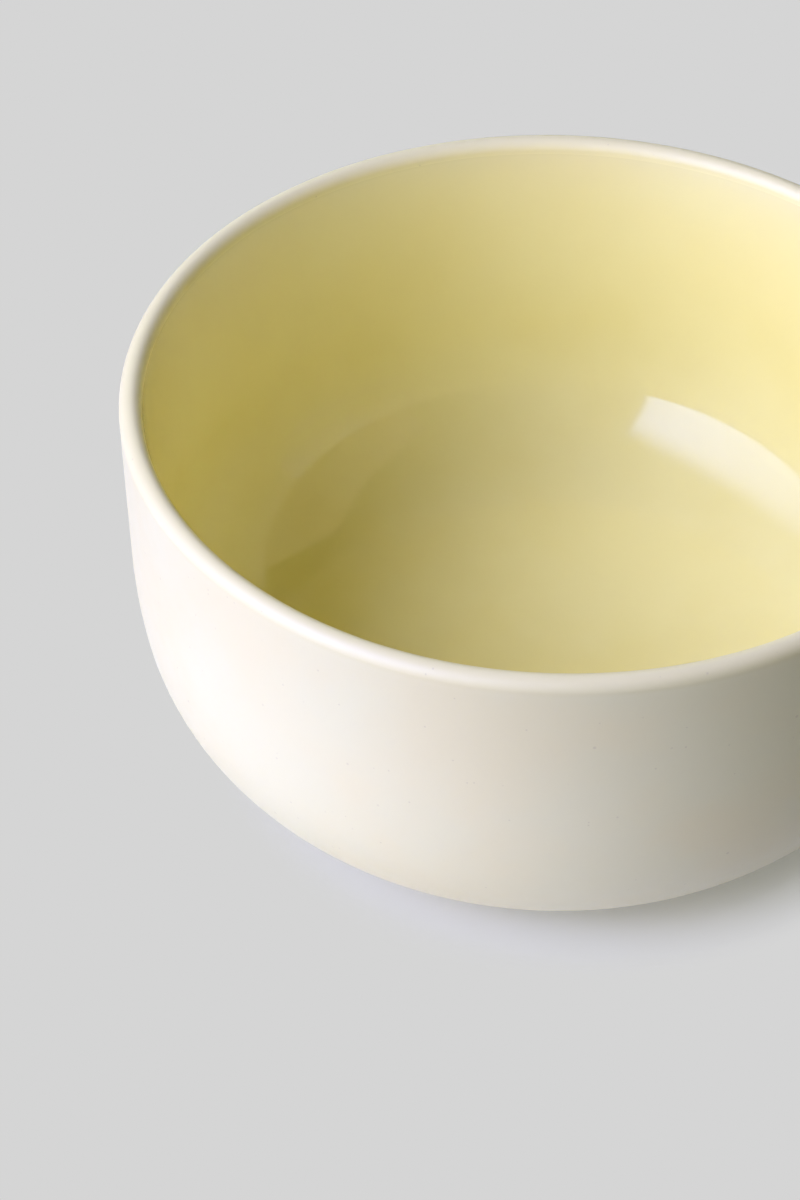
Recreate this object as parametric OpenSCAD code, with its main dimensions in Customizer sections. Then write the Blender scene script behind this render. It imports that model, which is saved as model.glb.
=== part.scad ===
// Latte bowl: a round stoneware bowl, white satin glaze outside and over the lip, yellow gloss glaze inside.
// The origin is the middle of the standing ring's lowest plane, and +Z points up through the mouth.
// Every piece is one profile turned about Z, so the profile is worked out first, in radius and height.

/* [Bowl] */
// Widest outer diameter, at the lip
bowl_d = 140; // [100:1:200]
// Height from the table to the crest of the lip
bowl_h = 70; // [60:1:96]

/* [Lip] */
// Radius of the lip's outer half, from the crest to the outer wall
lip_out_r = 2; // [1.4:0.1:3]
// Radius of the lip's inner half, from the crest to the inner wall
lip_in_r = 1.65; // [1.2:0.05:2.6]
// Length of inner wall, below the lip's inner half, that the white glaze still covers
white_inside = 0.6; // [0.3:0.1:6]

/* [Outer wall and belly] */
// Lean of the outer wall, narrowing towards the foot, in degrees
wall_lean = 3.5; // [1:0.1:6]
// Radius of the slow curve that leads from the wall into the belly
shoulder_r = 88; // [60:1:110]
// Slope at which the slow curve ends, in degrees from upright
shoulder_end = 11; // [8:0.5:16]
// Radius of the belly's main curve
belly_r = 38; // [32:0.5:42]
// Slope at which the belly's curve tightens into the heel, in degrees from upright
belly_end = 52; // [44:1:60]
// Radius of the heel
heel_r = 20; // [12:0.5:24]
// Slope of the underside between the heel and the foot, in degrees from upright
underside_slope = 76; // [70:0.5:82]

/* [Inside] */
// Lean of the inner wall, narrowing towards the floor, in degrees
inner_lean = 3.5; // [2:0.1:5]
// Radius of the corner between the inner wall and the floor
corner_r = 26; // [22:0.5:32]
// Slope of the dished floor where it meets the corner, in degrees from level
dish_slope = 8; // [3:0.5:12]
// Thickness of the floor in the middle, glazes included
floor_t = 4.8; // [3.6:0.1:9]

/* [Foot] */
// Distance from the bowl's widest line in to the outer side of the standing ring
foot_inset = 30; // [27.5:0.5:36]
// Height of the standing ring on its outer side
foot_h = 2.5; // [2:0.1:5]
// Width of the standing ring
foot_w = 5; // [4:0.1:8]
// Height of the recess inside the standing ring
recess_h = 2.5; // [2.2:0.1:4]
// Radius of the ring's two lower edges
foot_edge_r = 0.8; // [0.4:0.1:1]
// Radius of the hollow curve where the ring's outer side meets the underside
foot_fillet_r = 1; // [0.5:0.1:1.5]
// Radius of the hollow curve at the edge of the recess
recess_fillet_r = 1.2; // [0.6:0.1:1.3]

/* [Glaze] */
// Thickness of the fired glaze
glaze_t = 0.4; // [0.2:0.05:0.7]
// Height up to which the standing ring is wiped clean of glaze
wiped_h = 1.1; // [1:0.05:1.2]

/* [Curves] */
// Largest gap between a curve and the chords that stand for it
chord_gap = 0.02; // [0.01:0.005:0.06]
// Largest turn from one chord to the next, in degrees
chord_turn = 7.5; // [5:0.5:15]

/* [Hidden] */
$fn = 144;

bowl_r = bowl_d / 2;
foot_r = bowl_r - foot_inset;
recess_r = foot_r - foot_w;
floor_z = recess_h + floor_t;

// Outward direction of the outside where it slopes by a degrees from upright
function out_n(a) = [cos(a), -sin(a)];
// Direction down a surface that slopes by a degrees from upright
function down(a) = [-sin(a), -cos(a)];
// Points on the arc round c from direction a to direction b, as directions of out_n
function arc(c, r, a, b) =
    let (turn = min(chord_turn, 2 * acos(1 - chord_gap / r)))
    let (steps = ceil(abs(b - a) / turn))
    [for (i = [0:steps]) c + r * out_n(a + (b - a) * i / steps)];
function reversed(points) = [for (i = [len(points) - 1:-1:0]) points[i]];

// The lip: two quarter arcs that share the crest
lip_r = bowl_r - lip_out_r;
lip_out_c = [lip_r, bowl_h - lip_out_r];
lip_in_c = [lip_r, bowl_h - lip_in_r];
lip_out_end = lip_out_c + lip_out_r * out_n(wall_lean);
lip_in_end = lip_in_c - lip_in_r * out_n(inner_lean);

// Height at which the white glaze meets the yellow
glaze_line_z = lip_in_end[1] - white_inside * cos(inner_lean);

// Radius and height that the three outer curves use up between the wall and the underside
curves_w = shoulder_r * (cos(wall_lean) - cos(shoulder_end))
    + belly_r * (cos(shoulder_end) - cos(belly_end))
    + heel_r * (cos(belly_end) - cos(underside_slope));
curves_h = shoulder_r * (sin(shoulder_end) - sin(wall_lean))
    + belly_r * (sin(belly_end) - sin(shoulder_end))
    + heel_r * (sin(underside_slope) - sin(belly_end));

// The straight wall takes up what is left of the height, once the underside reaches the foot
underside_rise = cos(underside_slope) / sin(underside_slope);
wall_len = (lip_out_end[1] - curves_h - foot_h - (lip_out_end[0] - curves_w - foot_r) * underside_rise)
    / (cos(wall_lean) - sin(wall_lean) * underside_rise);

// Centres of the outer curves, each on the line through the end of the one before
shoulder_c = lip_out_end + wall_len * down(wall_lean) - shoulder_r * out_n(wall_lean);
belly_c = shoulder_c + (shoulder_r - belly_r) * out_n(shoulder_end);
heel_c = belly_c + (belly_r - heel_r) * out_n(belly_end);

// The foot's hollow curve touches the ring's side and the underside
fillet_c = [foot_r + foot_fillet_r, foot_h - foot_fillet_r * tan(underside_slope / 2)];
recess_c = [recess_r - recess_fillet_r, recess_h - recess_fillet_r];

// The inner wall ends where a corner of the given radius runs into the dished floor
dish_rise = tan(dish_slope / 2);
inner_wall_len = (lip_in_end[1] + corner_r * (sin(inner_lean) - cos(dish_slope)) - floor_z
    - dish_rise * (lip_in_end[0] - corner_r * (cos(inner_lean) - sin(dish_slope))))
    / (cos(inner_lean) - dish_rise * sin(inner_lean));
corner_c = lip_in_end + inner_wall_len * down(inner_lean) - corner_r * out_n(inner_lean);
dish_r = (corner_c[0] + corner_r * sin(dish_slope)) / sin(dish_slope);
dish_c = [0, floor_z + dish_r];

// The profile in stretches, each moved into the clay by the depth d, from the floor's middle
// out and up over the lip, down the outside and round the foot to the middle of the recess
function inside(d) = concat(
    arc(dish_c, dish_r + d, 90, 90 - dish_slope),
    arc(corner_c, corner_r + d, 90 - dish_slope, inner_lean)
);
function lip(d) = concat(
    arc(lip_in_c, lip_in_r - d, 180 + inner_lean, 270),
    arc(lip_out_c, lip_out_r - d, 270, 360 + wall_lean)
);
function outside(d) = concat(
    arc(shoulder_c, shoulder_r - d, wall_lean, shoulder_end),
    arc(belly_c, belly_r - d, shoulder_end, belly_end),
    arc(heel_c, heel_r - d, belly_end, underside_slope),
    arc(fillet_c, foot_fillet_r + d, 180 + underside_slope, 180)
);
function ring(d) = concat(
    arc([foot_r - d - foot_edge_r, foot_edge_r], foot_edge_r, 0, 90),
    arc([recess_r + d + foot_edge_r, foot_edge_r], foot_edge_r, 90, 180)
);
function recess(d) = concat(
    arc(recess_c, recess_fillet_r + d, 0, -90),
    [[0, recess_h + d]]
);

// Point of the inner wall at the glaze line
function glaze_line(d) =
    let (top = lip_in_c - (lip_in_r - d) * out_n(inner_lean))
    top + (top[1] - glaze_line_z) / cos(inner_lean) * down(inner_lean);

// Fired clay: wall, belly, floor and the bare standing ring, in one turned piece
module stoneware_body() {
    d = glaze_t;
    color([0.80, 0.74, 0.63])
        rotate_extrude() polygon(concat(inside(d), lip(d), outside(d), ring(d), recess(d)));
}

// A coat of glaze: the closed band between a stretch of the glazed face and the clay behind it
module coat(face, clay) {
    rotate_extrude() polygon(concat(face, reversed(clay)));
}

// White satin glaze: the outside, the lip and a narrow band below it inside
module outer_glaze() {
    function stretch(d) = concat([glaze_line(d)], lip(d), outside(d), [[foot_r - d, wiped_h]]);
    color([0.95, 0.93, 0.88]) coat(stretch(0), stretch(glaze_t));
}

// Yellow gloss glaze: the floor, the corner and the inner wall up to the glaze line
module inner_glaze() {
    function stretch(d) = concat(inside(d), [glaze_line(d)]);
    color([0.86, 0.80, 0.50]) coat(stretch(0), stretch(glaze_t));
}

// White satin glaze in the recess inside the standing ring
module foot_glaze() {
    function stretch(d) = concat([[recess_r + d, wiped_h]], recess(d));
    color([0.93, 0.91, 0.86]) coat(stretch(0), stretch(glaze_t));
}

stoneware_body();
outer_glaze();
inner_glaze();
foot_glaze();
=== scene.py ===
"""Latte bowl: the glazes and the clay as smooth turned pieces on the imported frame, with a plain studio."""
import math

import bpy
import numpy as np
from mathutils import Matrix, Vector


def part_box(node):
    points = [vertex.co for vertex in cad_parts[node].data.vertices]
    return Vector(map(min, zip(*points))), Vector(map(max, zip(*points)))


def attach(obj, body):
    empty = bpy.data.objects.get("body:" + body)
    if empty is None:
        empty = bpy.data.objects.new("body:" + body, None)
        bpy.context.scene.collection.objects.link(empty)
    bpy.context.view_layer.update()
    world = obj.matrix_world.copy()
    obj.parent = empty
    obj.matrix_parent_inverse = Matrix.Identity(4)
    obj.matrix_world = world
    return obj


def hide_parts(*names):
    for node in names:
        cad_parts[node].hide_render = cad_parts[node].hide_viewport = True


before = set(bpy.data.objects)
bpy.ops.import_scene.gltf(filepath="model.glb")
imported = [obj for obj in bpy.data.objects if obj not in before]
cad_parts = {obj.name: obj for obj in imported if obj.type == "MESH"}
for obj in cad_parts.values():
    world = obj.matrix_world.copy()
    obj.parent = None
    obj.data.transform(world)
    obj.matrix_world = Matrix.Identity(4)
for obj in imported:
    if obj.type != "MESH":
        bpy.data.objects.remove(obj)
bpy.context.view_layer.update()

bl_info = {
    "name": "Latte bowl",
    "version": (1, 0, 0),
    "blender": (4, 5, 0),
    "location": "3D View > Sidebar > Latte bowl",
    "description": "Makes a glazed stoneware latte bowl and a plain studio for it",
    "category": "Add Mesh",
}

MM = 0.001
BODY = "root"
OUTER_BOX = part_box("outer_glaze")
INNER_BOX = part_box("inner_glaze")
GLAZE_T = 0.4 * MM

# A point of the section with a radius up to this is on the axis
ON_AXIS = 1e-9

# Steps along each stretch of the profile
STEPS = {
    "dish": 20, "corner": 44, "inner wall": 16, "white inside": 4, "lip, inner half": 14,
    "lip, outer half": 16, "wall": 16, "shoulder": 12, "belly": 30, "heel": 12, "underside": 5,
    "fillet": 8, "ring side": 2, "ring edge": 10, "ring face": 6, "recess edge": 8, "recess": 12,
}


class BowlSizes(bpy.types.PropertyGroup):
    """Sizes of the turned profile, the same as the solids have."""

    width: bpy.props.FloatProperty(
        name="Width", description="Widest outer diameter, at the lip",
        default=OUTER_BOX[1].x - OUTER_BOX[0].x, min=0.05, unit="LENGTH")
    height: bpy.props.FloatProperty(
        name="Height", description="Height from the table to the crest of the lip",
        default=OUTER_BOX[1].z, min=0.02, unit="LENGTH")
    lip_out_r: bpy.props.FloatProperty(
        name="Lip, outer radius", description="Radius of the lip's outer half",
        default=2 * MM, min=0.5 * MM, unit="LENGTH")
    lip_in_r: bpy.props.FloatProperty(
        name="Lip, inner radius", description="Radius of the lip's inner half",
        default=1.65 * MM, min=0.5 * MM, unit="LENGTH")
    glaze_line_z: bpy.props.FloatProperty(
        name="Glaze line", description="Height of the line where the white glaze meets the yellow",
        default=INNER_BOX[1].z, min=0.0, unit="LENGTH")
    wall_lean: bpy.props.FloatProperty(
        name="Wall lean", description="Lean of the outer wall towards the foot",
        default=math.radians(3.5), subtype="ANGLE")
    shoulder_r: bpy.props.FloatProperty(
        name="Shoulder radius", description="Radius of the slow curve below the wall",
        default=88 * MM, unit="LENGTH")
    shoulder_end: bpy.props.FloatProperty(
        name="Shoulder end", description="Slope at which the slow curve ends, from upright",
        default=math.radians(11), subtype="ANGLE")
    belly_r: bpy.props.FloatProperty(
        name="Belly radius", description="Radius of the belly's main curve",
        default=38 * MM, unit="LENGTH")
    belly_end: bpy.props.FloatProperty(
        name="Belly end", description="Slope at which the belly tightens into the heel, from upright",
        default=math.radians(52), subtype="ANGLE")
    heel_r: bpy.props.FloatProperty(
        name="Heel radius", description="Radius of the heel", default=20 * MM, unit="LENGTH")
    underside_slope: bpy.props.FloatProperty(
        name="Underside slope", description="Slope of the underside beside the foot, from upright",
        default=math.radians(76), subtype="ANGLE")
    inner_lean: bpy.props.FloatProperty(
        name="Inner lean", description="Lean of the inner wall towards the floor",
        default=math.radians(3.5), subtype="ANGLE")
    corner_r: bpy.props.FloatProperty(
        name="Corner radius", description="Radius between the inner wall and the floor",
        default=26 * MM, unit="LENGTH")
    dish_slope: bpy.props.FloatProperty(
        name="Dish slope", description="Slope of the floor where it meets the corner, from level",
        default=math.radians(8), subtype="ANGLE")
    floor_z: bpy.props.FloatProperty(
        name="Floor height", description="Height of the glazed floor in the middle",
        default=INNER_BOX[0].z + GLAZE_T, unit="LENGTH")
    foot_inset: bpy.props.FloatProperty(
        name="Foot inset", description="Distance from the widest line in to the standing ring",
        default=30 * MM, unit="LENGTH")
    foot_h: bpy.props.FloatProperty(
        name="Foot height", description="Height of the standing ring on its outer side",
        default=2.5 * MM, unit="LENGTH")
    foot_w: bpy.props.FloatProperty(
        name="Foot width", description="Width of the standing ring", default=5 * MM, unit="LENGTH")
    recess_h: bpy.props.FloatProperty(
        name="Recess height", description="Height of the recess inside the standing ring",
        default=2.5 * MM, unit="LENGTH")
    foot_edge_r: bpy.props.FloatProperty(
        name="Foot edge radius", description="Radius of the ring's two lower edges",
        default=0.8 * MM, unit="LENGTH")
    foot_fillet_r: bpy.props.FloatProperty(
        name="Foot fillet radius", description="Hollow curve between the ring and the underside",
        default=1 * MM, unit="LENGTH")
    recess_fillet_r: bpy.props.FloatProperty(
        name="Recess fillet radius", description="Hollow curve at the edge of the recess",
        default=1.2 * MM, unit="LENGTH")
    glaze_t: bpy.props.FloatProperty(
        name="Glaze thickness", description="Thickness of the fired glaze",
        default=GLAZE_T, unit="LENGTH")
    wiped_h: bpy.props.FloatProperty(
        name="Wiped height", description="Height up to which the ring is wiped clean of glaze",
        default=1.1 * MM, unit="LENGTH")
    unevenness: bpy.props.FloatProperty(
        name="Unevenness", description="How far the hand-dipped glaze edges waver up and down",
        default=0.12 * MM, min=0.0, unit="LENGTH")
    around: bpy.props.IntProperty(
        name="Steps around", description="Faces around the bowl", default=320, min=48, max=720)


class BowlFinish(bpy.types.PropertyGroup):
    """Colours and gloss of the two glazes and the clay."""

    white: bpy.props.FloatVectorProperty(
        name="White glaze", description="Colour of the outer glaze", subtype="COLOR",
        default=(0.86, 0.80, 0.545), min=0.0, max=1.0)
    yellow: bpy.props.FloatVectorProperty(
        name="Yellow glaze", description="Colour of the inner glaze", subtype="COLOR",
        default=(0.93, 0.83, 0.30), min=0.0, max=1.0)
    clay: bpy.props.FloatVectorProperty(
        name="Clay", description="Colour of the bare fired clay", subtype="COLOR",
        default=(0.60, 0.50, 0.37), min=0.0, max=1.0)
    fleck: bpy.props.FloatVectorProperty(
        name="Flecks", description="Colour of the fine iron flecks", subtype="COLOR",
        default=(0.45, 0.36, 0.26), min=0.0, max=1.0)
    satin: bpy.props.FloatProperty(
        name="Satin roughness", description="Roughness of the outer glaze",
        default=0.42, min=0.0, max=1.0)
    gloss: bpy.props.FloatProperty(
        name="Gloss roughness", description="Roughness of the inner glaze",
        default=0.07, min=0.0, max=1.0)
    melt: bpy.props.FloatProperty(
        name="Melt length",
        description="Drop below the crest in which the white on the inner lip fades to a third",
        default=2.4 * MM, min=0.1 * MM, unit="LENGTH")
    thinning: bpy.props.FloatProperty(
        name="Thinning",
        description="Drop in which the paler, thinner yellow below the lip fades to a third",
        default=20 * MM, min=1 * MM, unit="LENGTH")
    thinned: bpy.props.FloatProperty(
        name="Thinned share", description="Share of white that shows through the yellow at the lip",
        default=0.6, min=0.0, max=1.0)


class BowlStudio(bpy.types.PropertyGroup):
    """The floor, the lamps and the room."""

    pale: bpy.props.FloatProperty(
        name="Background",
        description="Brightness of the floor and the horizon as the camera sees them",
        default=0.665, min=0.0, max=1.0)
    paper: bpy.props.FloatProperty(
        name="Paper", description="Brightness of the floor's own colour where the bowl shades it",
        default=0.75, min=0.0, max=1.0)
    bounce: bpy.props.FloatProperty(
        name="Bounce", description="Share of light that the floor beside the bowl throws back at it",
        default=0.8, min=0.0, max=1.0)
    far_bounce: bpy.props.FloatProperty(
        name="Far bounce", description="Share of light that the floor throws back beyond the reach",
        default=0.03, min=0.0, max=1.0)
    reach: bpy.props.FloatProperty(
        name="Reach",
        description="Radius of the pool of floor that throws light back, to where it has faded",
        default=0.25, min=0.1, unit="LENGTH")
    pool: bpy.props.FloatVectorProperty(
        name="Pool", description="Middle of the pool of floor that throws light back",
        size=2, default=(-0.07, 0.0), unit="LENGTH")
    contact: bpy.props.FloatProperty(
        name="Contact", description="Distance from the bowl within which its shade on the floor shows",
        default=14 * MM, min=0.0, unit="LENGTH")
    key_azimuth: bpy.props.FloatProperty(
        name="Key azimuth", description="Direction of the soft box, from +Y towards +X",
        default=math.radians(-115), subtype="ANGLE")
    ambient: bpy.props.FloatProperty(
        name="Ambient", description="Brightness of the room beyond the lamps", default=0.04, min=0.0)
    key: bpy.props.FloatProperty(
        name="Key light", description="Radiance of the large soft box on the left",
        default=4.65, min=0.0)
    key_cool: bpy.props.FloatVectorProperty(
        name="Key, cool part", description="Colour of the soft box high up and away from the camera",
        subtype="COLOR", default=(1.0, 1.06, 2.4), min=0.0, soft_max=2.5)
    key_warm: bpy.props.FloatVectorProperty(
        name="Key, warm part", description="Colour of the soft box low down and at its camera end",
        subtype="COLOR", default=(1.0, 0.99, 0.78), min=0.0, soft_max=1.5)
    shine: bpy.props.FloatProperty(
        name="Shine", description="Radiance of the soft box as the glazes mirror it",
        default=3.0, min=0.0)
    front: bpy.props.FloatProperty(
        name="Front fill", description="Radiance of the panel beside the camera",
        default=0.45, min=0.0)
    back: bpy.props.FloatProperty(
        name="Back light", description="Radiance of the faint panel behind the bowl",
        default=0.9, min=0.0)
    card: bpy.props.FloatProperty(
        name="Card", description="Radiance of the reflector on the right, which only the gloss shows",
        default=0.58, min=0.0)
    wall: bpy.props.FloatProperty(
        name="Wall", description="Brightness that the gloss shows of the wall behind the bowl",
        default=0.5, min=0.0)
    high: bpy.props.FloatProperty(
        name="High light", description="Radiance of the soft panel high behind the soft box",
        default=1.6, min=0.0)
    side: bpy.props.FloatProperty(
        name="Side light", description="Radiance of the low panel on the right",
        default=1.5, min=0.0)
    warm: bpy.props.FloatVectorProperty(
        name="Warm colour", description="Colour of the room and of the panel behind the bowl",
        subtype="COLOR", default=(1.0, 1.05, 0.35), min=0.0, soft_max=1.5)


def direction(slope):
    """Unit vector (radius, height) that points out of a surface sloping by an angle from upright."""
    return np.array([math.cos(slope), -math.sin(slope)])


def downward(slope):
    """Unit vector (radius, height) down a surface sloping by an angle from upright."""
    return np.array([-math.sin(slope), -math.cos(slope)])


def arc(centre, radius, start, end, stretch):
    """Points on a circle: the centre plus the radius times the outward direction at each slope.

    The slope goes from start to end, in degrees, in the steps of the named stretch.
    """
    a = np.radians(np.linspace(start, end, STEPS[stretch] + 1))
    return centre + radius * np.stack([np.cos(a), -np.sin(a)], axis=1)


def straight(a, b, stretch):
    """Points between a and b at the equal steps of the named stretch, without the two ends."""
    t = np.linspace(0, 1, STEPS[stretch] + 1)[1:-1, None]
    return a + (b - a) * t


class Profile:
    """The bowl's half section in radius and height, offset into the clay by any depth."""

    def __init__(self, s):
        self.s = s
        self.bowl_r = s.width / 2
        self.foot_r = self.bowl_r - s.foot_inset
        self.recess_r = self.foot_r - s.foot_w
        self.lip_r = self.bowl_r - s.lip_out_r
        self.lip_out_c = np.array([self.lip_r, s.height - s.lip_out_r])
        self.lip_in_c = np.array([self.lip_r, s.height - s.lip_in_r])
        self.lean = math.degrees(s.wall_lean)
        self.inner_lean = math.degrees(s.inner_lean)
        self.shoulder_end = math.degrees(s.shoulder_end)
        self.belly_end = math.degrees(s.belly_end)
        self.under = math.degrees(s.underside_slope)
        self.dish = math.degrees(s.dish_slope)
        self.outside_centres()
        self.inside_centres()

    def outside_centres(self):
        """Each outer curve's centre lies on the line through the end of the curve before it."""
        s = self.s
        top = self.lip_out_c + s.lip_out_r * direction(s.wall_lean)
        curves = (s.shoulder_r * (direction(s.wall_lean) - direction(s.shoulder_end))
                  + s.belly_r * (direction(s.shoulder_end) - direction(s.belly_end))
                  + s.heel_r * (direction(s.belly_end) - direction(s.underside_slope)))
        rise = 1 / math.tan(s.underside_slope)
        wall = ((top[1] - curves[1] - s.foot_h - (top[0] - curves[0] - self.foot_r) * rise)
                / (math.cos(s.wall_lean) - math.sin(s.wall_lean) * rise))
        self.shoulder_c = top + wall * downward(s.wall_lean) - s.shoulder_r * direction(s.wall_lean)
        self.belly_c = self.shoulder_c + (s.shoulder_r - s.belly_r) * direction(s.shoulder_end)
        self.heel_c = self.belly_c + (s.belly_r - s.heel_r) * direction(s.belly_end)
        self.fillet_c = np.array([self.foot_r + s.foot_fillet_r,
                                  s.foot_h - s.foot_fillet_r * math.tan(s.underside_slope / 2)])
        self.recess_c = np.array([self.recess_r, s.recess_h]) - s.recess_fillet_r

    def inside_centres(self):
        """The inner wall is as long as the corner and the dished floor leave it."""
        s = self.s
        rise = math.tan(s.dish_slope / 2)
        top = self.lip_in_c - s.lip_in_r * direction(s.inner_lean)
        wall = ((top[1] + s.corner_r * (math.sin(s.inner_lean) - math.cos(s.dish_slope)) - s.floor_z
                 - rise * (top[0] - s.corner_r * (math.cos(s.inner_lean) - math.sin(s.dish_slope))))
                / (math.cos(s.inner_lean) - rise * math.sin(s.inner_lean)))
        self.corner_c = top + wall * downward(s.inner_lean) - s.corner_r * direction(s.inner_lean)
        self.dish_r = (self.corner_c[0] + s.corner_r * math.sin(s.dish_slope)) / math.sin(s.dish_slope)
        self.dish_c = np.array([0.0, s.floor_z + self.dish_r])

    def inside(self, d):
        """Floor and corner, from the axis out and up to the inner wall."""
        top = 90 - self.dish
        return np.concatenate([
            arc(self.dish_c, self.dish_r + d, 90, top, "dish"),
            arc(self.corner_c, self.s.corner_r + d, top, self.inner_lean, "corner")[1:],
        ])

    def lip(self, d):
        """Both quarter arcs of the lip, from the inner wall over the crest to the outer wall."""
        s = self.s
        return np.concatenate([
            arc(self.lip_in_c, s.lip_in_r - d, 180 + self.inner_lean, 270, "lip, inner half"),
            arc(self.lip_out_c, s.lip_out_r - d, 270, 360 + self.lean, "lip, outer half")[1:],
        ])

    def outside(self, d):
        """Wall, shoulder, belly, heel, underside and the hollow curve beside the foot."""
        s = self.s
        top = self.lip_out_c + (s.lip_out_r - d) * direction(s.wall_lean)
        shoulder = arc(self.shoulder_c, s.shoulder_r - d, self.lean, self.shoulder_end, "shoulder")
        belly = arc(self.belly_c, s.belly_r - d, self.shoulder_end, self.belly_end, "belly")[1:]
        heel = arc(self.heel_c, s.heel_r - d, self.belly_end, self.under, "heel")[1:]
        fillet = arc(self.fillet_c, s.foot_fillet_r + d, 180 + self.under, 180, "fillet")
        return np.concatenate([
            straight(top, shoulder[0], "wall"), shoulder, belly, heel,
            straight(heel[-1], fillet[0], "underside"), fillet,
        ])

    def ring(self, d):
        """The standing ring's two rounded lower edges with the flat face between them."""
        r = self.s.foot_edge_r
        outer = arc(np.array([self.foot_r - d - r, r]), r, 0, 90, "ring edge")
        inner = arc(np.array([self.recess_r + d + r, r]), r, 90, 180, "ring edge")
        return np.concatenate([outer, straight(outer[-1], inner[0], "ring face"), inner])

    def recess(self, d):
        """The hollow curve and the flat of the recess, in to the axis."""
        edge = arc(self.recess_c, self.s.recess_fillet_r + d, 0, -90, "recess edge")
        axis = np.array([0.0, self.s.recess_h + d])
        return np.concatenate([edge, straight(edge[-1], axis, "recess"), axis[None]])

    def glaze_line(self, d):
        """Point of the inner wall at the height of the glaze line."""
        s = self.s
        top = self.lip_in_c - (s.lip_in_r - d) * direction(s.inner_lean)
        return top + (top[1] - s.glaze_line_z) / math.cos(s.inner_lean) * downward(s.inner_lean)


def waver(angle):
    """A slow wave round the bowl between -1 and 1: the weighted sum of five sines of the angle."""
    counts = np.array([3, 7, 12, 19, 31])[:, None]
    weights = np.array([0.34, 0.26, 0.18, 0.13, 0.09])[:, None]
    shifts = np.array([0.4, 2.1, 4.0, 5.2, 1.3])[:, None]
    return (weights * np.sin(counts * angle + shifts)).sum(axis=0)


def turned(name, section, around, lift=None, loop=False, corners=()):
    """Turns a section about Z: point (i, j) is radius i times (cos, sin) of angle j, at height i.

    To the height comes the waver of angle j, times lift i, in metres. loop closes the section on itself.
    corners lists the section points where the surface has a true edge. A section end on the axis
    becomes one point there, with a fan of triangles round it.
    """
    angle = np.linspace(0, 2 * math.pi, around, endpoint=False)
    on_axis = [not loop and section[end, 0] <= ON_AXIS for end in (0, -1)]
    first = int(on_axis[0])
    last = len(section) - int(on_axis[-1])
    band = section[first:last]
    radius, height = band[:, :1], band[:, 1:]
    rise = np.zeros_like(height) if lift is None else lift[first:last, None]
    grid = np.stack([
        radius * np.cos(angle),
        radius * np.sin(angle),
        height + rise * waver(angle),
    ], axis=-1)
    rows = len(band)
    ids = np.arange(rows * around).reshape(rows, around)
    if loop:
        ids = np.concatenate([ids, ids[:1]])
    beside = np.roll(ids, -1, axis=1)
    quads = np.stack([ids[:-1], ids[1:], beside[1:], beside[:-1]], axis=-1).reshape(-1, 4)
    points = [grid.reshape(-1, 3)]
    fans = [np.empty((0, 3), dtype=int)]
    pole = rows * around
    for end in (0, -1):
        if on_axis[end]:
            points.append(np.array([[0.0, 0.0, section[end, 1]]]))
            middle, rim, after = np.full(around, pole), ids[end], beside[end]
            fans.append(np.stack([rim, middle, after] if end else [middle, rim, after], axis=-1))
            pole += 1
    piece = mesh_piece(name, np.concatenate(points), quads, np.concatenate(fans))
    sharpen(piece.data, around, [c % len(section) - first for c in corners])
    return piece


def sharpen(mesh, around, rows):
    """Marks the rings of the given rows as true edges: both ends of such an edge are in that row."""
    ends = np.empty(len(mesh.edges) * 2, dtype=np.int32)
    mesh.edges.foreach_get("vertices", ends)
    row = ends.reshape(-1, 2) // around
    sharp = (row[:, 0] == row[:, 1]) & np.isin(row[:, 0], rows)
    mesh.edges.foreach_set("use_edge_sharp", sharp)


def mesh_piece(name, points, quads, fans):
    """Puts whole arrays of points, quads and triangles into a smooth mesh object."""
    mesh = bpy.data.meshes.new(name)
    corners = np.concatenate([quads.ravel(), fans.ravel()])
    sizes = np.concatenate([np.full(len(quads), 4), np.full(len(fans), 3)])
    starts = np.cumsum(sizes) - sizes
    mesh.vertices.add(len(points))
    mesh.vertices.foreach_set("co", points.astype(np.float32).ravel())
    mesh.loops.add(len(corners))
    mesh.loops.foreach_set("vertex_index", corners.astype(np.int32))
    mesh.polygons.add(len(sizes))
    mesh.polygons.foreach_set("loop_start", starts.astype(np.int32))
    mesh.update(calc_edges=True)
    mesh.polygons.foreach_set("use_smooth", np.ones(len(sizes), dtype=bool))
    if mesh.validate():
        raise RuntimeError(name + ": the mesh had faults")
    piece = bpy.data.objects.new(name, mesh)
    bpy.context.scene.collection.objects.link(piece)
    return piece


def coat(name, first, second, sizes, start=(), end=(), loop=False):
    """Turns a coat of glaze: its first side, then its second side backwards, with a true edge between.

    start and end are the shares of the unevenness at the first and the last points of either side.
    Between them the coat runs true.
    """
    shares = np.zeros(len(first))
    shares[:len(start)] = start
    shares[len(first) - len(end):] = end
    lift = sizes.unevenness * shares
    corners = (len(first) - 1, len(first)) + ((0, -1) if loop else ())
    return turned(name, np.concatenate([first, second[::-1]]), sizes.around,
                  np.concatenate([lift, lift[::-1]]), loop, corners)


def settle(piece, node, material):
    """Rides the piece on the bowl, in the place of its solid, and gives it its finish."""
    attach(piece, BODY)
    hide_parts(node)
    piece.data.materials.append(material)


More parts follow.
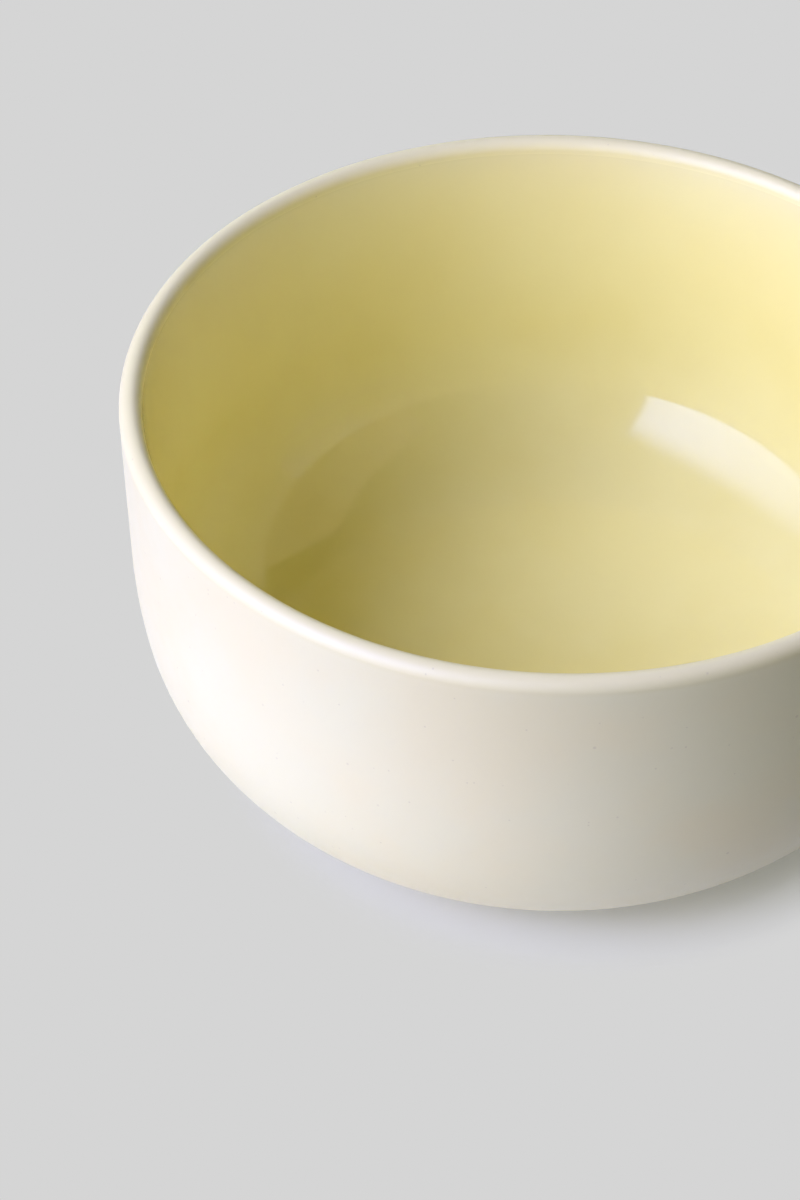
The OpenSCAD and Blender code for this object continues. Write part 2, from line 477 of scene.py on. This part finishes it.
class Nodes:
    """Short calls to lay out a material's nodes."""

    # Sockets of a Mix node: the two numbers, the two colours, and the colour that comes out
    NUMBERS, COLOURS, COLOUR_OUT = (2, 3), (6, 7), 2

    def __init__(self, tree):
        self.tree = tree
        tree.nodes.clear()

    def add(self, kind, inputs=None, **settings):
        """Makes a node, sets its properties, then links or sets each named input."""
        node = self.tree.nodes.new(kind)
        for key, value in settings.items():
            setattr(node, key, value)
        for key, value in (inputs or {}).items():
            self.give(node.inputs[key], value)
        return node

    def give(self, socket, value):
        """Links another node's result to the socket, or sets a plain value on it."""
        if isinstance(value, bpy.types.NodeSocket):
            self.tree.links.new(value, socket)
        else:
            socket.default_value = value

    def math(self, operation, a, b=0.0, clamp=False):
        """One Math node's result."""
        return self.add("ShaderNodeMath", {0: a, 1: b}, operation=operation, use_clamp=clamp).outputs[0]

    def product(self, first, *others):
        """The first value times each of the others."""
        for other in others:
            first = self.math("MULTIPLY", first, other)
        return first

    def noise(self, vector, scale, detail=2.0, rough=0.5):
        """Value of a Noise Texture, scale in waves per metre."""
        inputs = {"Vector": vector, "Scale": scale, "Detail": detail, "Roughness": rough}
        return self.add("ShaderNodeTexNoise", inputs).outputs["Fac"]

    def span(self, value, low, high, to_low=0.0, to_high=1.0, smooth=False):
        """Maps low..high onto to_low..to_high and holds it there."""
        inputs = {"Value": value, "From Min": low, "From Max": high, "To Min": to_low, "To Max": to_high}
        kind = "SMOOTHSTEP" if smooth else "LINEAR"
        return self.add("ShaderNodeMapRange", inputs, interpolation_type=kind, clamp=True).outputs["Result"]

    def mix(self, share, a, b):
        """Number a where share is 0 and b where it is 1."""
        first, second = self.NUMBERS
        return self.add("ShaderNodeMix", {0: share, first: a, second: b}).outputs[0]

    def blend(self, share, a, b):
        """Colour a where share is 0 and b where it is 1."""
        node = self.add("ShaderNodeMix", {0: share}, data_type="RGBA")
        for key, value in zip(self.COLOURS, (a, b)):
            linked = isinstance(value, bpy.types.NodeSocket)
            self.give(node.inputs[key], value if linked else (*value[:3], 1.0))
        return node.outputs[self.COLOUR_OUT]


def new_material(name):
    """An empty material, the calls for its nodes, and the place on the piece."""
    material = bpy.data.materials.new(name)
    material.use_nodes = True
    n = Nodes(material.node_tree)
    return material, n, n.add("ShaderNodeTexCoord").outputs["Object"]


def finished(n, base, rough, height, strength, depth, ior):
    """Ends a material with its shader and a fine relief, depth metres high as height goes from 0 to 1."""
    bump = n.add("ShaderNodeBump", {"Height": height, "Strength": strength, "Distance": depth})
    shader = n.add("ShaderNodeBsdfPrincipled", {
        "Base Color": base, "Roughness": rough, "Normal": bump.outputs[0], "IOR": ior})
    n.add("ShaderNodeOutputMaterial", {"Surface": shader.outputs[0]})


def tinted(colour, factor):
    """The colour with each channel times its factor, and 1 at most."""
    return tuple(min(1.0, c * f) for c, f in zip(colour, factor))


# Ranges of a noise's value that are stretched over the whole of a change
MIDDLE, WIDE = (0.35, 0.65), (0.3, 0.7)

# Share of a fleck's radius that has its full colour, and how strongly flecks show in glaze and in clay
FLECK_CORE, FLECKS_IN_GLAZE, FLECKS_IN_CLAY = 0.45, 0.25, 0.6

# Half the width, across the lip, in which the yellow begins, and how far its line wavers
MELT_EDGE, MELT_WAVER = 0.5 * MM, 0.5 * MM

# Drops below the crest at which the warm tone of the thin white has gone, and up to which it is full
THIN_DROP, THIN_SHARE = (3 * MM, 0.5 * MM), 0.9

# Drops at which the yellow in the white glaze's own material has gone, and up to which it is full
YELLOW_END = (12 * MM, 8 * MM)


def flecks(n, spot, scale, size, share):
    """1 inside fine round flecks and 0 outside, with a soft edge.

    A fleck is what lies nearer than size, in cells, to its cell's own point, in a share of the cells.
    """
    cell = n.add("ShaderNodeTexVoronoi", {"Vector": spot, "Scale": scale, "Randomness": 1.0})
    near = n.span(cell.outputs["Distance"], size, size * FLECK_CORE, smooth=True)
    pick = n.add("ShaderNodeSeparateColor", {"Color": cell.outputs["Color"]}).outputs[0]
    return n.product(near, n.math("LESS_THAN", pick, share))


def relief(n, spot, coarse, fine, share):
    """A coarse noise plus a share of a fine one, each given by its scale, detail and roughness."""
    return n.math("ADD", n.noise(spot, *coarse), n.product(n.noise(spot, *fine), share))


def drift(n, spot, colour, scale, factors):
    """The colour in a slow drift between two tones, each given by the factors of its channels."""
    share = n.span(n.noise(spot, scale, detail=3.0), *MIDDLE, smooth=True)
    return n.blend(share, *(tinted(colour, factor) for factor in factors))


def melt_share(n, spot, sizes, finish):
    """Share of yellow, and the drop below the crest: the share is none outside the lip's own radius.

    Within it, it is the product of two rises with the drop, a quick full one and a slow shallow one.
    The drop wavers a little, so the two glazes meet in a soft uneven line.
    """
    place = n.add("ShaderNodeSeparateXYZ", {"Vector": spot}).outputs
    across = n.add("ShaderNodeCombineXYZ", {"X": place["X"], "Y": place["Y"]}).outputs[0]
    radius = n.add("ShaderNodeVectorMath", {0: across}, operation="LENGTH").outputs["Value"]
    lip_r = sizes.width / 2 - sizes.lip_out_r
    share = n.span(radius, lip_r + MELT_EDGE, lip_r - MELT_EDGE, smooth=True)
    lower = n.product(n.noise(spot, scale=120), MELT_WAVER)
    drop = n.math("ADD", n.math("SUBTRACT", sizes.height, place["Z"]), lower)
    for fade, length in ((1.0, finish.melt), (finish.thinned, finish.thinning)):
        left = n.product(n.math("EXPONENT", n.math("DIVIDE", drop, -length)), fade)
        share = n.product(share, n.math("SUBTRACT", 1.0, left, clamp=True))
    return share, drop


def lip_and_yellow(n, spot, share, drop, finish):
    """The white glaze, warmer where it is thin over the crest of the lip, and the yellow one by its share.

    The white drifts between a warmer and a cooler tone, the yellow between a deeper and a paler one.
    """
    white = drift(n, spot, finish.white, scale=38, factors=((1.01, 0.985, 0.955), (0.992, 1.003, 1.012)))
    thin = tinted(finish.white, (0.98, 0.95, 0.80))
    white = n.blend(n.span(drop, *THIN_DROP, to_high=THIN_SHARE), white, thin)
    yellow = drift(n, spot, finish.yellow, scale=30, factors=((0.99, 0.98, 0.93), (1.01, 1.015, 1.05)))
    return n.blend(share, white, yellow)


def white_glaze(sizes, finish):
    """Warm white satin glaze that thins into glossy yellow inside the lip, with a few fine flecks."""
    material, n, spot = new_material("white_satin_glaze")
    share, drop = melt_share(n, spot, sizes, finish)
    share = n.product(share, n.span(drop, *YELLOW_END))
    base = lip_and_yellow(n, spot, share, drop, finish)
    specks = n.math("MAXIMUM", flecks(n, spot, scale=420, size=0.16, share=0.05),
                    flecks(n, spot, scale=900, size=0.2, share=0.04))
    base = n.blend(n.product(specks, FLECKS_IN_GLAZE), base, finish.fleck)
    patches = n.noise(spot, scale=260, detail=3.0)
    satin = n.span(patches, *WIDE, finish.satin - 0.05, finish.satin + 0.06)
    rough = n.span(share, 0.35, 0.95, satin, finish.gloss + 0.03)
    peel = relief(n, spot, coarse=(700, 2.0), fine=(2600, 2.0), share=0.35)
    finished(n, base, rough, peel, strength=0.25, depth=0.02 * MM, ior=1.5)
    return material


def yellow_glaze(sizes, finish):
    """Pale yellow gloss glaze that the white of the lip melts into."""
    material, n, spot = new_material("yellow_gloss_glaze")
    base = lip_and_yellow(n, spot, *melt_share(n, spot, sizes, finish), finish)
    patches = n.noise(spot, scale=150, detail=3.0)
    rough = n.span(patches, *WIDE, finish.gloss - 0.015, finish.gloss + 0.02)
    ripple = relief(n, spot, coarse=(110, 2.0), fine=(900, 1.0), share=0.05)
    finished(n, base, rough, ripple, strength=0.3, depth=0.02 * MM, ior=1.6)
    return material


def bare_clay(finish):
    """Fired clay with a fine grain, darker flecks and a dry matt skin."""
    material, n, spot = new_material("bare_stoneware")
    dark, light = (tinted(finish.clay, factor) for factor in ((0.86, 0.83, 0.78), (1.08, 1.07, 1.05)))
    base = n.blend(n.span(n.noise(spot, scale=300, detail=4.0, rough=0.6), *WIDE), dark, light)
    specks = n.product(flecks(n, spot, scale=1300, size=0.3, share=0.12), FLECKS_IN_CLAY)
    base = n.blend(specks, base, tinted(finish.fleck, (0.6, 0.6, 0.6)))
    rough = n.span(n.noise(spot, scale=1200), *WIDE, to_low=0.8, to_high=0.95)
    grain = relief(n, spot, coarse=(1800, 3.0, 0.6), fine=(6000, 2.0), share=0.5)
    finished(n, base, rough, grain, strength=0.6, depth=0.06 * MM, ior=1.5)
    return material


class BOWL_OT_outer_glaze(bpy.types.Operator):
    """Make the white satin glaze on the lip and the outside"""

    bl_idname = "latte_bowl.outer_glaze"
    bl_label = "Outer glaze"
    bl_options = {"REGISTER", "UNDO"}

    def execute(self, context):
        sizes, finish = context.scene.bowl_sizes, context.scene.bowl_finish
        p = Profile(sizes)

        def side(d):
            line, lip, outside = p.glaze_line(d), p.lip(d), p.outside(d)
            end = np.array([p.foot_r - d, sizes.wiped_h])
            return np.concatenate([line[None], straight(line, lip[0], "white inside"), lip, outside,
                                   straight(outside[-1], end, "ring side"), end[None]])

        piece = coat("bowl_outer_glaze", side(0), side(sizes.glaze_t), sizes,
                     start=(1.0, 0.75, 0.5, 0.25), end=(1.0,), loop=True)
        settle(piece, "outer_glaze", white_glaze(sizes, finish))
        return {"FINISHED"}


class BOWL_OT_inner_glaze(bpy.types.Operator):
    """Make the yellow gloss glaze on the floor, the corner and the inner wall"""

    bl_idname = "latte_bowl.inner_glaze"
    bl_label = "Inner glaze"
    bl_options = {"REGISTER", "UNDO"}

    def execute(self, context):
        sizes, finish = context.scene.bowl_sizes, context.scene.bowl_finish
        p = Profile(sizes)

        def side(d):
            line, inside = p.glaze_line(d), p.inside(d)
            return np.concatenate([inside, straight(inside[-1], line, "inner wall"), line[None]])

        piece = coat("bowl_inner_glaze", side(0), side(sizes.glaze_t), sizes, end=(0.3, 0.65, 1.0))
        settle(piece, "inner_glaze", yellow_glaze(sizes, finish))
        return {"FINISHED"}


class BOWL_OT_foot_glaze(bpy.types.Operator):
    """Make the white glaze in the recess inside the standing ring"""

    bl_idname = "latte_bowl.foot_glaze"
    bl_label = "Foot glaze"
    bl_options = {"REGISTER", "UNDO"}

    def execute(self, context):
        sizes = context.scene.bowl_sizes
        p = Profile(sizes)

        def side(d):
            return np.concatenate([p.recess(d)[::-1], [[p.recess_r + d, sizes.wiped_h]]])

        piece = coat("bowl_foot_glaze", side(sizes.glaze_t), side(0), sizes, end=(1.0,))
        settle(piece, "foot_glaze", bpy.data.materials["white_satin_glaze"])
        return {"FINISHED"}


class BOWL_OT_clay(bpy.types.Operator):
    """Make the fired clay body, which shows on the standing ring"""

    bl_idname = "latte_bowl.clay"
    bl_label = "Stoneware body"
    bl_options = {"REGISTER", "UNDO"}

    def execute(self, context):
        sizes, finish = context.scene.bowl_sizes, context.scene.bowl_finish
        p = Profile(sizes)
        d = sizes.glaze_t
        section = np.concatenate([p.inside(d), p.lip(d), p.outside(d), p.ring(d), p.recess(d)])
        piece = turned("bowl_stoneware_body", section, sizes.around)
        settle(piece, "stoneware_body", bare_clay(finish))
        return {"FINISHED"}


def aim(obj, place, target, tilt=0.0):
    """Puts a lamp or camera at place with its -Z axis towards target, turned about it by tilt."""
    way = np.array(target, dtype=float) - np.array(place, dtype=float)
    way /= np.linalg.norm(way)
    right = np.cross(way, (0.0, 0.0, 1.0))
    right /= np.linalg.norm(right)
    up = np.cross(right, way)
    right, up = (math.cos(tilt) * right + math.sin(tilt) * up,
                 math.cos(tilt) * up - math.sin(tilt) * right)
    rows = np.column_stack([right, up, -way, np.array(place, dtype=float)])
    obj.matrix_world = Matrix([*rows.tolist(), [0.0, 0.0, 0.0, 1.0]])


def panel(name, azimuth, distance, width, low, high, radiance, tint, fade, hidden):
    """An upright rectangular lamp that faces the bowl, from height low to height high above the floor.

    It stands at an azimuth in degrees, from +Y towards +X, and at a distance in metres from the axis.
    fade takes a Nodes and the place on the lamp, 0 to 1 across and up, and gives a share of the radiance.
    Across runs from left to right as seen from behind the lamp. tint is a colour, or takes the same and
    gives one. hidden names the kind of ray that doesn't see the lamp, if there is one.
    """
    data = bpy.data.lights.new(name, "AREA")
    data.shape = "RECTANGLE"
    data.size, data.size_y = width, high - low

    # The power that an even lamp of this size has at the radiance
    data.energy = radiance * math.pi * data.size * data.size_y
    data.use_nodes = True
    n = Nodes(data.node_tree)
    place = n.add("ShaderNodeSeparateXYZ", {"Vector": n.add("ShaderNodeNewGeometry").outputs["Parametric"]})
    x, y = place.outputs["X"], place.outputs["Y"]
    colour = tint(n, x, y) if callable(tint) else (*tint, 1.0)
    glow = n.add("ShaderNodeEmission", {"Color": colour, "Strength": fade(n, x, y)})
    n.add("ShaderNodeOutputLight", {"Surface": glow.outputs[0]})
    lamp = bpy.data.objects.new(name, data)
    bpy.context.scene.collection.objects.link(lamp)
    a = math.radians(azimuth)
    middle = (low + high) / 2
    aim(lamp, (distance * math.sin(a), distance * math.cos(a), middle), (0.0, 0.0, middle))
    lamp.visible_camera = False
    lamp.visible_diffuse = hidden != "diffuse"
    lamp.visible_glossy = hidden != "glossy"


def key_fade(n, x, y):
    """Dim in the low corner away from the camera and at both ends, and dark along the top edge."""
    corner = n.span(n.math("ADD", x, y), 0.4, 0.9, 0.3, 1.0)
    ends = n.span(x, 0.0, 0.5, 0.6, 1.0), n.span(x, 0.75, 1.0, 1.0, 0.55)
    return n.product(corner, *ends, n.span(y, 1.0, 0.9))


def shine_fade(n, x, y):
    """Brighter towards the camera end, whose edge is soft, and fading over the upper half."""
    rise, edge = n.span(x, 0.1, 0.75, 0.3, 1.0), n.span(x, 1.0, 0.93, smooth=True)
    return n.product(rise, edge, top_fade(n, x, y))


def top_fade(n, x, y):
    """Full on the lower half, and down to nothing at the top."""
    return n.span(y, 1.0, 0.5, smooth=True)


def top_dim(n, x, y):
    """Full up to four fifths of the height, and half as bright at the top."""
    return n.span(y, 1.0, 0.8, 0.5, 1.0)


def card_edge(n, x, y):
    """Bright below a soft edge that rises with the square of the place across, away from the camera."""
    level = n.math("SUBTRACT", y, n.product(x, x, 0.54))
    return n.span(level, 0.475, 0.445)


def even(n, x, y):
    """As bright all over."""
    return 1.0


class BOWL_OT_studio(bpy.types.Operator):
    """Make the floor, the lamps, the world and the camera"""

    bl_idname = "latte_bowl.studio"
    bl_label = "Studio"
    bl_options = {"REGISTER", "UNDO"}

    def execute(self, context):
        studio = context.scene.bowl_studio
        self.floor(studio)
        self.lamps(studio)
        self.world(context.scene, studio)
        self.camera(context.scene)
        context.scene.view_settings.view_transform = "Standard"
        return {"FINISHED"}

    def floor(self, studio):
        """A round floor, a fan of rings about the bowl, level with the standing ring.

        The camera and the gloss see one even tone, and paper where the bowl shades it. The bowl gets
        light back from a pool of floor about it, which fades out to the reach.
        """
        rings = np.array([[radius, 0.0] for radius in (0.0, 0.3, 1.0, 3.0, 9.0)])
        floor = turned("studio_floor", rings, around=96)
        material, n, spot = new_material("studio_paper")

        # The shade is where the bowl stands near, on the side of the soft box and a little up
        towards = (math.sin(studio.key_azimuth), math.cos(studio.key_azimuth), 0.35)
        lit_side = n.add("ShaderNodeVectorMath", {0: towards}, operation="NORMALIZE").outputs["Vector"]
        near = n.add("ShaderNodeAmbientOcclusion", {"Distance": studio.contact, "Normal": lit_side},
                     samples=16).outputs["AO"]
        even_tone = n.add("ShaderNodeEmission", {"Strength": studio.pale}).outputs[0]
        paper = (*tinted([studio.paper] * 3, (1.0, 1.005, 0.98)), 1.0)
        shaded = n.add("ShaderNodeBsdfDiffuse", {"Color": paper}).outputs[0]
        shade = n.span(near, 0.9, 0.6, to_high=0.8)
        seen = n.add("ShaderNodeMixShader", {0: shade, 1: even_tone, 2: shaded}).outputs[0]

        away = n.add("ShaderNodeVectorMath", {0: spot, 1: (*studio.pool, 0.0)},
                     operation="DISTANCE").outputs["Value"]
        fading = n.span(away, studio.reach / 3, studio.reach, studio.bounce, studio.far_bounce, smooth=True)
        pool = n.add("ShaderNodeBsdfDiffuse", {"Color": fading}).outputs[0]
        surface = n.add("ShaderNodeMixShader", {0: self.looking(n), 1: pool, 2: seen}).outputs[0]
        n.add("ShaderNodeOutputMaterial", {"Surface": surface})
        floor.data.materials.append(material)

    def looking(self, n):
        """1 for rays from the camera and for those that gloss or glass sends on."""
        path = n.add("ShaderNodeLightPath").outputs
        mirrored = n.math("MAXIMUM", path["Is Glossy Ray"], path["Is Transmission Ray"])
        return n.math("MAXIMUM", path["Is Camera Ray"], mirrored)

    def lamps(self, studio):
        """A large soft box on the left, in two lamps: the key lights the bowl, the shine is mirrored in it.

        The others are a faint fill beside the camera, a faint panel behind the bowl, one high up behind
        the soft box, a low one on the right, and a card there that only the gloss shows.
        """
        def key_tint(n, x, y):
            """Cool high up, warm low down and at the camera end."""
            cool = n.product(n.span(x, 0.95, 0.65), n.span(y, 0.1, 0.45))
            return n.blend(cool, studio.key_warm, studio.key_cool)

        # Name, azimuth, distance, width, lower and upper edge, radiance, colour, fade, hidden from
        left = math.degrees(studio.key_azimuth)
        for lamp in (
            ("key", left, 3.0, 5.2, 0.0, 5.5, studio.key, key_tint, key_fade, "glossy"),
            ("shine", left, 2.9, 5.1, 0.0, 5.5, studio.shine, (0.70, 0.93, 2.0), shine_fade, "diffuse"),
            ("front", 185, 3.0, 3.2, 0.3, 2.6, studio.front, (1.0, 1.02, 1.0), even, "glossy"),
            ("back", -20, 3.0, 2.4, 0.0, 4.1, studio.back, studio.warm, top_dim, None),
            ("high", -50, 3.0, 3.6, 4.1, 7.5, studio.high, (1.0, 1.05, 1.4), top_fade, "glossy"),
            ("side", 75, 3.0, 3.0, 0.9, 2.3, studio.side, (1.0, 0.98, 0.8), top_dim, "glossy"),
            ("card", 95, 2.0, 3.4, 0.9, 3.95, studio.card, (1.0, 0.78, 0.56), card_edge, "diffuse"),
        ):
            panel(*lamp)

    def world(self, scene, studio):
        """A dim room, which the camera sees in the pale tone of the floor.

        The gloss shows that tone up to a little above the horizon, and a fainter wall behind the bowl.
        """
        world = bpy.data.worlds.new("studio_world")
        world.use_nodes = True
        n = Nodes(world.node_tree)
        way = n.add("ShaderNodeTexCoord").outputs["Generated"]
        way = n.add("ShaderNodeSeparateXYZ", {"Vector": way}).outputs
        path = n.add("ShaderNodeLightPath").outputs
        low = n.span(way["Z"], 0.17, 0.12, smooth=True)
        seen = n.math("MAXIMUM", path["Is Camera Ray"], n.product(low, self.looking(n)))
        behind = n.product(n.span(way["Y"], 0.05, 0.5), n.span(way["X"], 0.35, 0.0))
        wall = n.span(behind, 0.0, 1.0, studio.ambient, studio.wall, smooth=True)
        room = n.mix(path["Is Glossy Ray"], studio.ambient, wall)
        strength = n.mix(seen, room, studio.pale)
        tint = n.blend(n.math("MAXIMUM", seen, path["Is Glossy Ray"]), studio.warm, (1, 1, 1))
        shader = n.add("ShaderNodeBackground", {"Color": tint, "Strength": strength})
        n.add("ShaderNodeOutputWorld", {"Surface": shader.outputs[0]})
        scene.world = world

    def camera(self, scene):
        """The photograph's view, fitted to the bowl's outline.

        The camera stands in front of the crest's middle, at a slant above the level and a distance in
        radii of the bowl. It looks level and straight ahead, then is turned by yaw, down by pitch and
        about its own axis by roll, all in radians.
        """
        radius, crest = 0.070, 0.070
        slant, distance = 0.67817, 16.0289
        yaw, pitch, roll = -0.028428, 0.70783, 0.014974
        lens_px, long_side = 7059.18, 1200
        data = bpy.data.cameras.new("camera")
        camera = bpy.data.objects.new("camera", data)
        scene.collection.objects.link(camera)
        place = np.array([0.0, -distance * math.cos(slant) * radius,
                          distance * math.sin(slant) * radius + crest])
        way = np.array([math.sin(yaw) * math.cos(pitch), math.cos(yaw) * math.cos(pitch), -math.sin(pitch)])
        aim(camera, place, place + way, roll)

        # The sensor's width lies along the photograph's longer side
        data.sensor_width = 36.0
        data.lens = lens_px * data.sensor_width / long_side
        data.clip_end = 50.0
        scene.camera = camera


class BOWL_PT_panel(bpy.types.Panel):
    """Sizes, finish and studio of the latte bowl, with one button for each piece"""

    bl_idname = "BOWL_PT_panel"
    bl_label = "Latte bowl"
    bl_space_type = "VIEW_3D"
    bl_region_type = "UI"
    bl_category = "Latte bowl"

    def draw(self, context):
        layout = self.layout
        for group in (context.scene.bowl_sizes, context.scene.bowl_finish, context.scene.bowl_studio):
            box = layout.box()
            for key in group.__annotations__:
                box.prop(group, key)
        for operator in OPERATORS:
            layout.operator(operator.bl_idname)


OPERATORS = (BOWL_OT_outer_glaze, BOWL_OT_inner_glaze, BOWL_OT_foot_glaze, BOWL_OT_clay, BOWL_OT_studio)
GROUPS = (("bowl_sizes", BowlSizes), ("bowl_finish", BowlFinish), ("bowl_studio", BowlStudio))


def register():
    """Registers the property groups, the operators and the panel."""
    for key, group in GROUPS:
        bpy.utils.register_class(group)
        setattr(bpy.types.Scene, key, bpy.props.PointerProperty(type=group))
    for operator in OPERATORS:
        bpy.utils.register_class(operator)
    bpy.utils.register_class(BOWL_PT_panel)


def unregister():
    """Takes all of them out again."""
    bpy.utils.unregister_class(BOWL_PT_panel)
    for operator in reversed(OPERATORS):
        bpy.utils.unregister_class(operator)
    for key, group in reversed(GROUPS):
        delattr(bpy.types.Scene, key)
        bpy.utils.unregister_class(group)


def main():
    """Makes the pieces and the studio in order."""
    register()
    bpy.ops.latte_bowl.outer_glaze()
    bpy.ops.latte_bowl.inner_glaze()
    bpy.ops.latte_bowl.foot_glaze()
    bpy.ops.latte_bowl.clay()
    bpy.ops.latte_bowl.studio()


if __name__ == "__main__":
    main()
